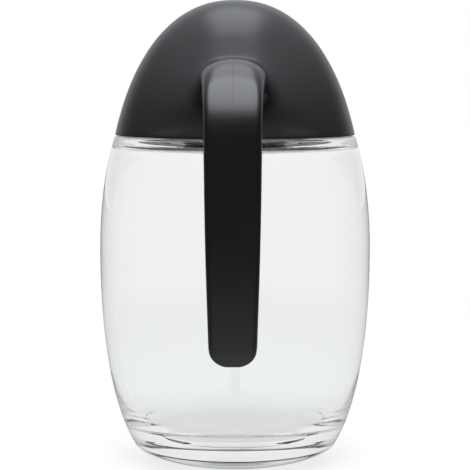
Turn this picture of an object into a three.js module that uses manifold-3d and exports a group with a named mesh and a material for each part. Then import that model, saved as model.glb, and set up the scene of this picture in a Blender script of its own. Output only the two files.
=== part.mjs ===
// Oil cruet: a barrel-shaped glass bottle under a domed black cap that screws onto its neck.
// The cap carries the arched handle, and a weighted flap in its front opens when the cruet is tipped.
// Millimetres, +Z up. The origin is the centre of the bottle's foot, the handle is at -Y and the spout at +Y.
import * as THREE from "three";
import { mergeVertices } from "three/addons/utils/BufferGeometryUtils.js";
import Module from "manifold-3d";

const wasm = await Module();
wasm.setup();

// Fits shared by several pieces
const seatGap = 0.3;
const runningGap = 0.12;
const swingGap = 0.4;
const overrun = 3;

// Bottle body
const bottleWidestRadius = 47;
const bottleWidestHeight = 72.9;
const bottleUpperReach = 82.8;
const bottleLowerOverreach = 6.1;
const bottleWall = 3;
const floorThickness = 10;
const footRadius = 20;
const heelHeight = 6;
const ledgeHeight = 113.1;
const ledgeCorner = 1;
const shoulderThickness = 4.1;
const innerCorner = 5;

// Bottle neck and its thread of three short starts
const neckRadius = 22.5;
const neckRise = 7.5;
const boreRadius = 19;
const boreFillet = 1.5;
const rimRound = 1;
const threadLead = 12;
const threadHeight = 1.1;
const threadRootWidth = 1.8;
const threadCrestWidth = 0.9;
const threadFirstRise = 2.5;
const threadFlankOffset = 1.5;

// Neck gasket
const gasketFlangeThickness = 1.6;
const gasketSleeveWall = 1.1;
const gasketFinReach = 0.5;
const gasketFinThickness = 1;
const gasketFinPitch = 3;
const gasketEndAboveBore = 2;

// Inner cap
const skirtWall = 2.7;
const skirtClearance = 0.5;
const deckThickness = 2.2;
const guideRingWall = 1.6;
const guideRingSetback = 1;
const flangeRise = 1.7;
const flangeThickness = 1.8;
const flangeSnap = 0.6;
const ribThickness = 1.4;
const ribHeight = 5;

// Dome
const domeGap = 0.4;
const domeRise = 46.5;
const domeReach = 82.6;
const domeSetback = 2;
const domeWall = 2.4;

// Handle
const fingerGap = 24;
const handleDropBelowEdge = 69;
const handleTopRise = 26.3;
const handleBend = 20;
const handleWidth = 18.2;
const handleTipWidth = 14.6;
const handleThickness = 11;
const handleTipThickness = 9;
const handleTipLength = 5.4;
const handleEdgeRound = 1.8;
const handleFlare = 9;
const handleRootWidth = 34;
const handleRootHeight = 27.2;
const handleRootDrop = 4.7;

// Flap and its hinge
const hingeDrop = 13.7;
const hingeDepth = 4.4;
const knuckleRadius = 4.2;
const flapWidth = 18.8;
const flapTipWidth = 15;
const flapTipLength = 4;
const pinRadius = 1;
const earThickness = 3;
const earRadius = 3.4;
const slugRadius = 2.3;
const slugLength = 15;
const slugDrop = 7.6;
const carrierBack = 3.2;
const carrierFront = 3;
const carrierWall = 0.7;
const carrierGrip = 1.1;
const padThickness = 1.4;
const padSeat = 1.3;

// Spout
const channelWidth = 10;
const channelHeight = 5.2;
const channelRound = 1.2;
const spoutWall = 1.2;
const gutterWall = 1.1;
const lipOverhang = 1.5;
const lipRound = 5.6;
const stubSetback = 6.5;
const stubDepth = 6.5;
const stubBoreRadius = 5;
const grommetWall = 0.8;
const grommetLip = 1.1;
const grommetLipThickness = 1.5;

// Air vent
const ventSetback = 9.5;
const ventRadius = 2;
const ventBoreRadius = 1.2;
const ventDepth = 10;
const ventRise = 4;
const ventCollarReach = 1;
const ventCollarThickness = 1.2;
const valveWall = 0.9;
const valveRoof = 1.8;
const valveSkirt = 1.2;
const valveHoleRadius = 0.6;

// Shapes of the curves, as powers, shares, turns and counts
const bottleUpperPower = 2.17;
const bottleUpperRoot = 2;
const bottleLowerPower = 2.06;
const bottleLowerRoot = 4.34;
const bottleFloorRoot = 8;
const heelPower = 1.46;
const floorCrowdPower = 2.4;
const domePower = 2.225;
const handleTaperPower = 1.7;
const handleTipPower = 0.3;
const handleTipShare = 0.92;
const turnSegments = 48;
const ringSegments = 36;
const smallSegments = 20;
const threadStarts = 3;
const threadSweepTurns = 100 / 360;
const capThreadSweepTurns = 50 / 360;
const gasketFins = 3;
const ribCount = 6;

// Reaches and radii that follow from the sizes above
const bottleLowerReach = bottleWidestHeight + bottleLowerOverreach;
const domeRadius = bottleWidestRadius - domeSetback;
const lipReach = domeRadius + lipOverhang;
const handleReach = bottleWidestRadius + fingerGap + handleThickness;

// Heights that follow from the sizes above
const neckTop = ledgeHeight + neckRise;
const innerShoulderHeight = ledgeHeight - shoulderThickness;
const gasketFlangeBottom = neckTop + seatGap;
const gasketFlangeTop = gasketFlangeBottom + gasketFlangeThickness;
const deckBottom = gasketFlangeTop + seatGap;
const deckTop = deckBottom + deckThickness;
const domeEdge = ledgeHeight + domeGap;
const domeTop = domeEdge + domeRise;
const domeCentre = domeTop - domeReach;
const skirtInnerRadius = neckRadius + threadHeight + skirtClearance;
const skirtOuterRadius = skirtInnerRadius + skirtWall;
const gasketOuterRadius = boreRadius - seatGap;
const gasketSleeveRadius = gasketOuterRadius - gasketFinReach;
const gasketInnerRadius = gasketSleeveRadius - gasketSleeveWall;
const guideRingRadius = gasketInnerRadius - seatGap;

// Spout heights, which stack up from the inner cap's deck
const spoutBottom = deckTop + seatGap;
const channelBottom = spoutBottom + spoutWall;
const channelTop = channelBottom + channelHeight;
const spoutTop = channelTop + spoutWall;
const gutterTop = channelBottom + gutterWall;
const spoutHalfWidth = channelWidth / 2 + spoutWall;
const stubRadius = stubBoreRadius + spoutWall;

const materials = {
  glass: new THREE.MeshStandardMaterial({
    color: 0xe8eeec,
    roughness: 0.04,
    metalness: 0,
    transparent: true,
    opacity: 0.3,
  }),
  charcoal: new THREE.MeshStandardMaterial({ color: 0x2b2c30, roughness: 0.48, metalness: 0 }),
  innerPlastic: new THREE.MeshStandardMaterial({ color: 0x1f2022, roughness: 0.4, metalness: 0 }),
  silicone: new THREE.MeshStandardMaterial({ color: 0x18191b, roughness: 0.7, metalness: 0 }),
  steel: new THREE.MeshStandardMaterial({ color: 0xb9bcc0, roughness: 0.3, metalness: 1 }),
};

// A superellipse's radius at a height above or below its centre
function curveRadius(height, centre, reach, radius, power, root) {
  const share = Math.min(1, Math.abs(height - centre) / reach);
  return radius * (1 - share ** power) ** (1 / root);
}

function bottleOuter(height) {
  return height >= bottleWidestHeight
    ? curveRadius(height, bottleWidestHeight, bottleUpperReach, bottleWidestRadius,
      bottleUpperPower, bottleUpperRoot)
    : curveRadius(height, bottleWidestHeight, bottleLowerReach, bottleWidestRadius,
      bottleLowerPower, bottleLowerRoot);
}

function bottleInner(height) {
  return height >= bottleWidestHeight
    ? curveRadius(height, bottleWidestHeight, bottleUpperReach - bottleWall,
      bottleWidestRadius - bottleWall, bottleUpperPower, bottleUpperRoot)
    : curveRadius(height, bottleWidestHeight, bottleWidestHeight - floorThickness,
      bottleWidestRadius - bottleWall, bottleLowerPower, bottleFloorRoot);
}

// The dome's curve, taken in from its outside by an inset
function domeOuter(height, inset = 0) {
  return curveRadius(height, domeCentre, domeReach - inset, domeRadius - inset, domePower, domePower);
}

// Points along a curve given as a function of a share from 0 to 1
function along(count, point) {
  return Array.from({ length: count + 1 }, (_, i) => new THREE.Vector2(...point(i / count)));
}

function between(low, high, share) {
  return low + (high - low) * share;
}

// A quarter arc about a centre, from one angle to another in quarter turns
function arc(x, y, radius, from, to, count) {
  return along(count, (share) => {
    const angle = (between(from, to, share) * Math.PI) / 2;
    return [x + radius * Math.cos(angle), y + radius * Math.sin(angle)];
  });
}

// A closed geometry as a solid that can be joined and cut
function solidOf(geometry) {
  const bare = geometry.clone();
  bare.deleteAttribute("normal");
  bare.deleteAttribute("uv");
  const merged = mergeVertices(bare);
  const solid = new wasm.Manifold(
    new wasm.Mesh({
      numProp: 3,
      vertProperties: new Float32Array(merged.attributes.position.array),
      triVerts: new Uint32Array(merged.index.array),
    }),
  );
  if (solid.volume() <= 0) throw new Error("a solid is inside out");
  return solid;
}

// A profile of radius and height turned about the Z axis. It runs anticlockwise, from the axis or closed.
function turned(profile, segments = turnSegments) {
  return solidOf(new THREE.LatheGeometry(profile, segments).rotateX(Math.PI / 2));
}

function ring(innerRadius, outerRadius, low, high, segments = turnSegments) {
  const corners = [
    [innerRadius, low],
    [outerRadius, low],
    [outerRadius, high],
    [innerRadius, high],
    [innerRadius, low],
  ];
  return turned(corners.map((c) => new THREE.Vector2(...c)), segments);
}

function disc(radius, low, high, segments = turnSegments) {
  const corners = [[0, low], [radius, low], [radius, high], [0, high]];
  return turned(corners.map((c) => new THREE.Vector2(...c)), segments);
}

function block(low, high) {
  const size = high.map((h, i) => h - low[i]);
  const centre = high.map((h, i) => (h + low[i]) / 2);
  return solidOf(new THREE.BoxGeometry(...size).translate(...centre));
}

// A rod along X, centred on x = 0, at a place in the YZ plane
function rod(radius, length, y, z, segments = smallSegments) {
  const cylinder = new THREE.CylinderGeometry(radius, radius, length, segments);
  return solidOf(cylinder.rotateZ(Math.PI / 2).translate(0, y, z));
}

// An outline in X and Z, extruded along +Y between two places
function extrudedAlongY(outline, fromY, toY) {
  const shape = new THREE.Shape(outline);
  const geometry = new THREE.ExtrudeGeometry(shape, { depth: toY - fromY, bevelEnabled: false });
  return solidOf(geometry.rotateX(Math.PI / 2).translate(0, toY, 0));
}

// An outline in X and Y, extruded upwards between two heights
function extrudedUp(outline, low, high) {
  const shape = new THREE.Shape(outline);
  const geometry = new THREE.ExtrudeGeometry(shape, { depth: high - low, bevelEnabled: false });
  return solidOf(geometry.translate(0, 0, low));
}

// Rings of points joined into one closed body, with a flat face on each end
function loft(rings) {
  const count = rings[0].length;
  const points = rings.flat();
  const faces = [];
  const quad = (a, b, c, d) => faces.push(a, b, c, a, c, d);
  for (let r = 0; r + 1 < rings.length; r++) {
    for (let i = 0; i < count; i++) {
      const next = (i + 1) % count;
      quad(r * count + i, r * count + next, (r + 1) * count + next, (r + 1) * count + i);
    }
  }
  const last = (rings.length - 1) * count;
  for (let i = 1; i + 1 < count; i++) {
    faces.push(0, i + 1, i);
    faces.push(last, last + i, last + i + 1);
  }
  const geometry = new THREE.BufferGeometry().setFromPoints(points);
  return solidOf(geometry.setIndex(faces));
}

function meshOf(name, solid, material) {
  const made = solid.getMesh();
  const geometry = new THREE.BufferGeometry();
  geometry.setAttribute("position", new THREE.BufferAttribute(made.vertProperties, made.numProp));
  geometry.setIndex(new THREE.BufferAttribute(made.triVerts, 1));
  geometry.computeVertexNormals();
  const mesh = new THREE.Mesh(geometry, material);
  mesh.name = name;
  return mesh;
}

// One helical ridge of trapezium section, which fades in and out at its ends
function threadRidge(rootRadius, crestRadius, startTurns, sweepTurns, startHeight) {
  const steps = Math.round(sweepTurns * turnSegments);
  const sunk = Math.sign(rootRadius - crestRadius) * (threadHeight / 2);
  const fadeSteps = 2;
  const lowestShare = 0.2;
  const rings = [];
  for (let i = 0; i <= steps; i++) {
    const share = i / steps;
    const angle = (startTurns + sweepTurns * share) * 2 * Math.PI;
    const middle = startHeight + threadLead * sweepTurns * share;
    const fade = Math.min(1, Math.max(lowestShare, Math.min(i, steps - i) / fadeSteps));
    const crest = between(rootRadius, crestRadius, fade);
    const section = [
      [rootRadius + sunk, -threadRootWidth / 2],
      [rootRadius, -threadRootWidth / 2],
      [crest, -threadCrestWidth / 2],
      [crest, threadCrestWidth / 2],
      [rootRadius, threadRootWidth / 2],
      [rootRadius + sunk, threadRootWidth / 2],
    ];
    if (crestRadius < rootRadius) section.reverse();
    rings.push(
      section.map(([r, z]) => new THREE.Vector3(r * Math.cos(angle), r * Math.sin(angle), middle + z)),
    );
  }
  return loft(rings.reverse());
}

// The glass bottle: a heavy floor, a swelling barrel, a flat shoulder and a wide threaded neck
function glassBottle() {
  const heelRadius = bottleOuter(heelHeight);
  const heel = along(4, (share) => {
    const angle = ((1 - share) * Math.PI) / 2;
    return [
      footRadius + (heelRadius - footRadius) * Math.cos(angle) ** (2 / heelPower),
      heelHeight - heelHeight * Math.sin(angle) ** (2 / heelPower),
    ];
  });
  const cornerStart = ledgeHeight - ledgeCorner;
  const cornerRadius = bottleOuter(cornerStart);
  const lowerOuter = along(8, (share) => {
    const height = between(heelHeight, bottleWidestHeight, share);
    return [bottleOuter(height), height];
  });
  const upperOuter = along(5, (share) => {
    const height = between(bottleWidestHeight, cornerStart, share);
    return [bottleOuter(height), height];
  });
  const innerCornerStart = innerShoulderHeight - innerCorner;
  const innerCornerRadius = bottleInner(innerCornerStart);
  const upperInner = along(4, (share) => {
    const height = between(innerCornerStart, bottleWidestHeight, share);
    return [bottleInner(height), height];
  });
  const lowerInner = along(8, (share) => {
    const height = between(floorThickness, bottleWidestHeight, (1 - share) ** floorCrowdPower);
    return [share === 1 ? 0 : bottleInner(height), height];
  });
  const profile = [
    new THREE.Vector2(0, 0),
    ...heel,
    ...lowerOuter.slice(1),
    ...upperOuter.slice(1),
    ...arc(cornerRadius - ledgeCorner, cornerStart, ledgeCorner, 0, 1, 2).slice(1),
    new THREE.Vector2(neckRadius, ledgeHeight),
    ...arc(neckRadius - rimRound, neckTop - rimRound, rimRound, 0, 1, 2),
    ...arc(boreRadius + rimRound, neckTop - rimRound, rimRound, 1, 2, 2),
    ...arc(boreRadius + boreFillet, innerShoulderHeight + boreFillet, boreFillet, 2, 3, 2),
    ...arc(innerCornerRadius - innerCorner, innerCornerStart, innerCorner, 1, 0, 4),
    ...upperInner.slice(1),
    ...lowerInner.slice(1),
  ];
  let bottle = turned(profile);
  for (let start = 0; start < threadStarts; start++) {
    const ridge = threadRidge(neckRadius, neckRadius + threadHeight, start / threadStarts,
      threadSweepTurns, ledgeHeight + threadFirstRise);
    bottle = bottle.add(ridge);
  }
  return meshOf("glass_bottle", bottle, materials.glass);
}

// The silicone gasket: a flange on the glass rim, and a finned sleeve that plugs the neck's bore
function neckGasket() {
  const sleeveEnd = innerShoulderHeight + gasketEndAboveBore;
  const flangeRadius = neckRadius - seatGap;
  const fins = Array.from({ length: gasketFins }, (_, fin) => sleeveEnd + fin * gasketFinPitch);
  const corners = [
    [gasketInnerRadius, sleeveEnd],
    ...fins.flatMap((low, fin) => [
      ...(fin === 0 ? [] : [[gasketSleeveRadius, low]]),
      [gasketOuterRadius, low],
      [gasketOuterRadius, low + gasketFinThickness],
      [gasketSleeveRadius, low + gasketFinThickness],
    ]),
    [gasketSleeveRadius, gasketFlangeBottom],
    [flangeRadius, gasketFlangeBottom],
    [flangeRadius, gasketFlangeTop],
    [gasketInnerRadius, gasketFlangeTop],
    [gasketInnerRadius, sleeveEnd],
  ];
  const gasket = turned(corners.map((c) => new THREE.Vector2(...c)), ringSegments);
  return meshOf("neck_gasket", gasket, materials.silicone);
}

// The inner cap: a threaded skirt, a deck over the neck, and a flange that snaps into the dome's wall
function innerCap() {
  const flangeBottom = domeEdge + flangeRise;
  const flangeTop = flangeBottom + flangeThickness;
  const flangeRadius = domeOuter(flangeTop, domeWall) + flangeSnap;
  const ringBottom = innerShoulderHeight + gasketEndAboveBore + guideRingSetback;
  let cap = ring(skirtInnerRadius, skirtOuterRadius, domeEdge, deckTop);
  cap = cap.add(disc(skirtOuterRadius, deckBottom, deckTop));
  cap = cap.add(ring(skirtInnerRadius + skirtWall / 2, flangeRadius, flangeBottom, flangeTop));
  cap = cap.add(ring(guideRingRadius - guideRingWall, guideRingRadius, ringBottom, deckTop));
  const ribStart = skirtInnerRadius + skirtWall / 2;
  const ribTop = flangeTop + ribHeight;
  const ribEnd = domeOuter(ribTop, domeWall) - seatGap * 2;
  for (let i = 0; i < ribCount; i++) {
    const angle = ((i + 0.5) * 360) / ribCount;
    const rib = block([ribStart, -ribThickness / 2, flangeBottom], [ribEnd, ribThickness / 2, ribTop]);
    cap = cap.add(rib.rotate([0, 0, angle]));
  }
  for (let start = 0; start < threadStarts; start++) {
    const skipped = threadSweepTurns - capThreadSweepTurns;
    const height = ledgeHeight + threadFirstRise - threadFlankOffset + threadLead * skipped;
    const ridge = threadRidge(skirtInnerRadius, skirtInnerRadius - threadHeight,
      start / threadStarts + skipped, capThreadSweepTurns, height);
    cap = cap.add(ridge);
  }
  const grommetHole = stubRadius + seatGap * 2 + grommetWall;
  const hole = (radius, y) =>
    disc(radius, deckBottom - overrun, deckTop + overrun, smallSegments).translate([0, y, 0]);
  cap = cap.subtract(hole(grommetHole, stubSetback)).subtract(hole(ventRadius + seatGap, -ventSetback));
  return meshOf("inner_cap", cap, materials.innerPlastic);
}

// The dome as a filled body, taken in by an inset, from a height upwards
function domeBody(inset, low) {
  const top = domeTop - inset;
  const count = 10;
  const side = along(count, (share) => {
    const height = between(low, top, Math.sin((share * Math.PI) / 2));
    return [share === 1 ? 0 : domeOuter(height, inset), height];
  });
  return turned([new THREE.Vector2(0, low), ...side]);
}

// The hinge pin's place in the YZ plane: a set depth under the dome's surface, square to it
function hingePlace() {
  const height = domeTop - hingeDrop;
  const step = domeReach / 1000;
  const run = domeOuter(height - step) - domeOuter(height + step);
  const length = Math.hypot(run, 2 * step);
  const normal = new THREE.Vector2((2 * step) / length, run / length);
  const surface = new THREE.Vector2(domeOuter(height), height);
  return { normal, pin: surface.clone().addScaledVector(normal, -hingeDepth) };
}

// The flap's outline seen from the front: a tongue that narrows to a rounded tip over the spout
function tongueOutline(margin) {
  const top = domeTop;
  const tipEnd = channelBottom + swingGap + seatGap - margin;
  const tipStart = tipEnd + flapTipLength;
  const halfTop = flapWidth / 2 + margin;
  const halfTip = flapTipWidth / 2 + margin;
  const hinge = hingePlace().pin.y;
  const tip = along(10, (share) => {
    const angle = Math.PI * (1 + share);
    return [halfTip * Math.cos(angle), tipStart + (tipStart - tipEnd) * Math.sin(angle)];
  });
  return [
    ...tip,
    new THREE.Vector2(halfTop, hinge),
    new THREE.Vector2(halfTop, top),
    new THREE.Vector2(-halfTop, top),
    new THREE.Vector2(-halfTop, hinge),
  ];
}

// Everything on the spout's side of the hinge, below the line square to the dome through the pin
function belowHinge() {
  const { normal, pin } = hingePlace();
  const size = domeRadius * 2;
  const tilt = Math.atan2(normal.y, normal.x);
  const half = block([-size, 0, -size], [size, size, 0]);
  return half.rotate([(tilt * 180) / Math.PI, 0, 0]).translate([0, pin.x, pin.y])
    .add(block([-size, pin.x, -size], [size, size, pin.y]));
}

// The plane of the spout's mouth, which leans back with the dome's wall
function mouthPlane() {
  const inset = domeWall + padSeat + padThickness + seatGap;
  const low = new THREE.Vector2(domeOuter(spoutBottom) - inset, spoutBottom);
  const high = new THREE.Vector2(domeOuter(spoutTop) - inset, spoutTop);
  const lean = Math.atan2(low.x - high.x, high.y - low.y);
  return { low, high, lean };
}

// Outline points in the mouth's plane, as X and the distance up the plane, made a slab in front of it
function mouthSlab(outline, fromDepth, toDepth) {
  const { low, lean } = mouthPlane();
  return extrudedAlongY(outline, fromDepth, toDepth)
    .rotate([(lean * 180) / Math.PI, 0, 0])
    .translate([0, low.x, low.y]);
}

// The pad's outline: it fits between the gutter's sides below, and covers the mouth's rim above
function padOutline(inset) {
  const { low, high } = mouthPlane();
  const upright = low.distanceTo(high) / (high.y - low.y);
  const foot = (channelBottom + seatGap - spoutBottom) * upright + inset;
  const step = (gutterTop + seatGap - spoutBottom) * upright + inset;
  const top = low.distanceTo(high) - inset;
  const narrow = channelWidth / 2 - seatGap - inset;
  const wide = spoutHalfWidth - inset;
  const corners = [
    [-narrow, foot], [narrow, foot], [narrow, step], [wide, step],
    [wide, top], [-wide, top], [-wide, step], [-narrow, step],
  ];
  return corners.map((c) => new THREE.Vector2(...c));
}

// Half sizes of the handle's section, by how far down the drop it is
function handleSection(share) {
  const taper = share ** handleTaperPower;
  return {
    half: between(handleWidth, handleTipWidth, taper) / 2,
    depth: between(handleThickness, handleTipThickness, taper) / 2,
  };
}

// A rounded rectangle as pairs of side and depth, anticlockwise
function roundedSection(half, depth, round) {
  const corner = Math.min(round, half, depth);
  const middles = [[1, 1], [-1, 1], [-1, -1], [1, -1]];
  return middles.flatMap(([sx, sy], quarter) =>
    arc(sx * (half - corner), sy * (depth - corner), corner, quarter, quarter + 1, 3),
  );
}

// The handle's section, with a point in the middle of each flat side too
function handleOutline(half, depth) {
  const cornerPoints = 4;
  const outline = roundedSection(half, depth, handleEdgeRound);
  return outline.flatMap((point, i) => {
    const next = outline[(i + 1) % outline.length];
    return (i + 1) % cornerPoints === 0 ? [point, point.clone().lerp(next, 0.5)] : [point];
  });
}

// The handle: it leaves the dome through a wide fillet, arches over and hangs free beside the glass
function handle() {
  const topHeight = domeEdge + handleTopRise;
  const tipHeight = domeEdge - handleDropBelowEdge;
  const middleBend = handleBend - handleThickness / 2;
  const straightHeight = topHeight - handleThickness / 2;
  const dropY = -(handleReach - handleThickness / 2);
  const bendY = dropY + middleBend;
  const bendHeight = straightHeight - middleBend;
  const { half, depth } = handleSection(0);
  const section = handleOutline(half, depth);
  const rings = [];
  const flareSteps = 5;
  const rootHeight = straightHeight - handleRootDrop;
  const surfaceAt = (x, z) => -Math.sqrt(domeOuter(z) ** 2 - x ** 2);
  for (let step = 0; step <= flareSteps; step++) {
    const t = step / flareSteps;
    rings.push(section.map((point) => {
      const turn = Math.atan2(point.y / depth, point.x / half);
      const near = new THREE.Vector3(point.x, surfaceAt(point.x, straightHeight + point.y),
        straightHeight + point.y);
      const farX = (handleRootWidth / 2) * Math.cos(turn);
      const farZ = rootHeight + (handleRootHeight / 2) * Math.sin(turn);
      const far = new THREE.Vector3(farX, surfaceAt(farX, farZ) + domeWall / 4, farZ);
      const out = near.clone().setY(surfaceAt(0, straightHeight) - handleFlare);
      const curve = new THREE.QuadraticBezierCurve3(far, near, out);
      return curve.getPoint(t);
    }));
  }
  const inside = rings[0].map((point) => point.clone().setY(point.y + domeWall / 2));
  rings.unshift(inside);
  const bendSteps = 8;
  for (let step = 0; step <= bendSteps; step++) {
    const angle = ((step / bendSteps) * Math.PI) / 2;
    const back = Math.sin(angle);
    const up = Math.cos(angle);
    rings.push(section.map((point) => {
      const reach = middleBend + point.y;
      return new THREE.Vector3(point.x, bendY - reach * back, bendHeight + reach * up);
    }));
  }
  const drop = bendHeight - tipHeight;
  const tipShare = handleTipLength / drop;
  const hang = (share, narrowing) => {
    const size = handleSection(share);
    const tipDepth = size.depth * narrowing ** handleTipPower;
    const outline = handleOutline(size.half * narrowing, tipDepth);
    const middle = -handleReach + size.depth;
    return outline.map((point) =>
      new THREE.Vector3(point.x, middle - point.y, bendHeight - drop * share));
  };
  const hangSteps = 5;
  for (let step = 1; step <= hangSteps; step++) {
    rings.push(hang((1 - tipShare) * (step / hangSteps), 1));
  }
  const tipSteps = 4;
  for (let step = 1; step <= tipSteps; step++) {
    const angle = (step / tipSteps) * (Math.PI / 2) * handleTipShare;
    rings.push(hang(1 - tipShare * (1 - Math.sin(angle)), Math.cos(angle)));
  }
  return loft(rings);
}

// The dome and its handle, moulded in one: a shell open below, with the flap's opening and hinge ears
function domeAndHandle() {
  const { pin } = hingePlace();
  const groove = flangeSnap + seatGap;
  const grooveBottom = domeEdge + flangeRise - seatGap;
  const grooveTop = domeEdge + flangeRise + flangeThickness + seatGap;
  const grooveRadius = domeOuter(domeEdge + flangeRise + flangeThickness, domeWall) + groove;
  const outside = domeBody(0, domeEdge);
  let shell = outside.add(handle()).subtract(domeBody(domeWall, domeEdge - overrun));
  shell = shell.subtract(disc(grooveRadius, grooveBottom, grooveTop));
  const earSpan = flapWidth + 2 * swingGap + 2 * earThickness;
  shell = shell.add(rod(earRadius, earSpan, pin.x, pin.y).intersect(outside));
  const opening = extrudedAlongY(tongueOutline(swingGap), 0, domeRadius * 2).intersect(belowHinge());
  shell = shell.subtract(opening);
  shell = shell.subtract(rod(hingeDepth + swingGap, flapWidth + 2 * swingGap, pin.x, pin.y));
  shell = shell.subtract(rod(pinRadius + runningGap, earSpan + overrun, pin.x, pin.y));
  const slotHalf = spoutHalfWidth + seatGap;
  shell = shell.subtract(
    block([-slotHalf, 0, spoutBottom - seatGap], [slotHalf, domeRadius * 2, gutterTop + seatGap]),
  );
  return meshOf("dome_with_handle", shell, materials.charcoal);
}

// The flap: a tongue of the dome's own skin on a knuckle, with a carrier for its weight behind it
function spoutFlap() {
  const { pin } = hingePlace();
  const outside = domeBody(0, domeEdge);
  const skin = outside.subtract(domeBody(domeWall, domeEdge - overrun));
  const tongue = extrudedAlongY(tongueOutline(0), 0, domeRadius * 2).intersect(belowHinge());
  let flap = skin.intersect(tongue);
  flap = flap.add(rod(knuckleRadius, flapWidth, pin.x, pin.y).intersect(outside));
  const carrierHalf = slugLength / 2 + carrierWall;
  const carrier = block(
    [-carrierHalf, pin.x - carrierBack, pin.y - slugDrop - carrierGrip],
    [carrierHalf, pin.x + carrierFront, pin.y],
  );
  flap = flap.add(carrier);
  const seatBack = seatGap + padThickness;
  const seat = mouthSlab(padOutline(spoutWall / 4), seatBack + seatGap / 3, seatBack + padSeat + domeWall);
  flap = flap.add(seat.intersect(outside));
  flap = flap.subtract(rod(pinRadius + runningGap, flapWidth + overrun, pin.x, pin.y));
  flap = flap.subtract(rod(slugRadius + runningGap, slugLength + 2 * runningGap, pin.x, pin.y - slugDrop));
  return meshOf("spout_flap", flap, materials.charcoal);
}

function flapPad() {
  return meshOf("flap_pad", mouthSlab(padOutline(0), seatGap, seatGap + padThickness), materials.silicone);
}

function flapWeight() {
  const { pin } = hingePlace();
  return meshOf("flap_weight", rod(slugRadius, slugLength, pin.x, pin.y - slugDrop), materials.steel);
}

function hingePin() {
  const { pin } = hingePlace();
  const length = flapWidth + 2 * swingGap + 2 * earThickness - seatGap;
  return meshOf("hinge_pin", rod(pinRadius, length, pin.x, pin.y), materials.steel);
}

// A rounded rectangle in X and Z between two heights, for the spout's tube
function tubeOutline(halfWidth, low, high, round) {
  const half = (high - low) / 2;
  const middle = (high + low) / 2;
  return roundedSection(halfWidth, half, round).map((p) => new THREE.Vector2(p.x, p.y + middle));
}

// The spout: a stub down through the deck, a level channel forward, and an open gutter with a round lip
function pourSpout() {
  const back = stubSetback - stubRadius;
  const outerRound = channelRound + spoutWall;
  const tube = extrudedAlongY(tubeOutline(spoutHalfWidth, spoutBottom, spoutTop, outerRound), back, lipReach);
  const plan = [
    ...arc(0, stubSetback, stubRadius, 2, 4, 12),
    ...arc(spoutHalfWidth - lipRound, lipReach - lipRound, lipRound, 0, 1, 5),
    ...arc(-spoutHalfWidth + lipRound, lipReach - lipRound, lipRound, 1, 2, 5),
  ];
  const stubBottom = deckBottom - stubDepth;
  const stub = disc(stubRadius, stubBottom, channelBottom, smallSegments).translate([0, stubSetback, 0]);
  const stubBore = disc(stubBoreRadius, stubBottom - overrun, channelTop - channelRound, smallSegments)
    .translate([0, stubSetback, 0]);
  const channel = extrudedAlongY(
    tubeOutline(channelWidth / 2, channelBottom, channelTop, channelRound),
    stubSetback,
    lipReach + overrun,
  );
  const size = domeRadius;
  const front = [[-size, -size], [size, -size], [size, size], [-size, size]];
  const beyondMouth = mouthSlab(front.map((c) => new THREE.Vector2(...c)), 0, size * 2)
    .intersect(block([-size, -size, gutterTop], [size, size * 2, domeTop]));
  const spout = tube
    .intersect(extrudedUp(plan, spoutBottom - overrun, spoutTop + overrun))
    .add(stub)
    .subtract(channel)
    .subtract(stubBore)
    .subtract(beyondMouth);
  return meshOf("pour_spout", spout, materials.innerPlastic);
}

// The silicone grommet that seals the spout's stub in the deck
function spoutGrommet() {
  const inner = stubRadius + seatGap;
  const outer = inner + grommetWall;
  const lipTop = deckBottom - seatGap;
  const lip = ring(inner, outer + grommetLip, lipTop - grommetLipThickness, lipTop, smallSegments);
  const sleeve = ring(inner, outer, lipTop - grommetLipThickness, deckTop - seatGap, smallSegments);
  return meshOf("spout_grommet", lip.add(sleeve).translate([0, stubSetback, 0]), materials.silicone);
}

// The vent tube, which lets air into the bottle as oil leaves it
function ventTube() {
  const low = deckBottom - ventDepth;
  const high = deckTop + ventRise;
  const collarTop = deckBottom - seatGap;
  const collar = ring(ventBoreRadius, ventRadius + ventCollarReach, collarTop - ventCollarThickness,
    collarTop, smallSegments);
  const tube = ring(ventBoreRadius, ventRadius, low, high, smallSegments).add(collar);
  return meshOf("vent_tube", tube.translate([0, -ventSetback, 0]), materials.innerPlastic);
}

// The silicone valve on the vent tube's top, with a foot that rests on the deck
function ventValve() {
  const foot = deckTop + seatGap;
  const inner = ventRadius + seatGap;
  const roofUnder = deckTop + ventRise + seatGap;
  const outer = inner + valveWall;
  const corners = [
    [inner, foot],
    [outer + valveSkirt, foot],
    [outer + valveSkirt, foot + valveSkirt],
    [outer, foot + valveSkirt],
    [outer, roofUnder],
    [valveHoleRadius + valveWall, roofUnder + valveRoof],
    [valveHoleRadius, roofUnder + valveRoof],
    [valveHoleRadius, roofUnder],
    [inner, roofUnder],
    [inner, foot],
  ];
  const body = turned(corners.map((c) => new THREE.Vector2(...c)), smallSegments);
  return meshOf("vent_valve", body.translate([0, -ventSetback, 0]), materials.silicone);
}

const cap = new THREE.Group();
cap.add(innerCap(), domeAndHandle(), pourSpout(), spoutGrommet(), ventTube(), ventValve(), hingePin());

const flap = new THREE.Group();
flap.add(spoutFlap(), flapPad(), flapWeight());
cap.add(flap);

const cruet = new THREE.Group();
cruet.add(glassBottle(), neckGasket(), cap);

export default cruet;
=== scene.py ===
import math

import bmesh
import bpy
from mathutils import Matrix, Vector


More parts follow.
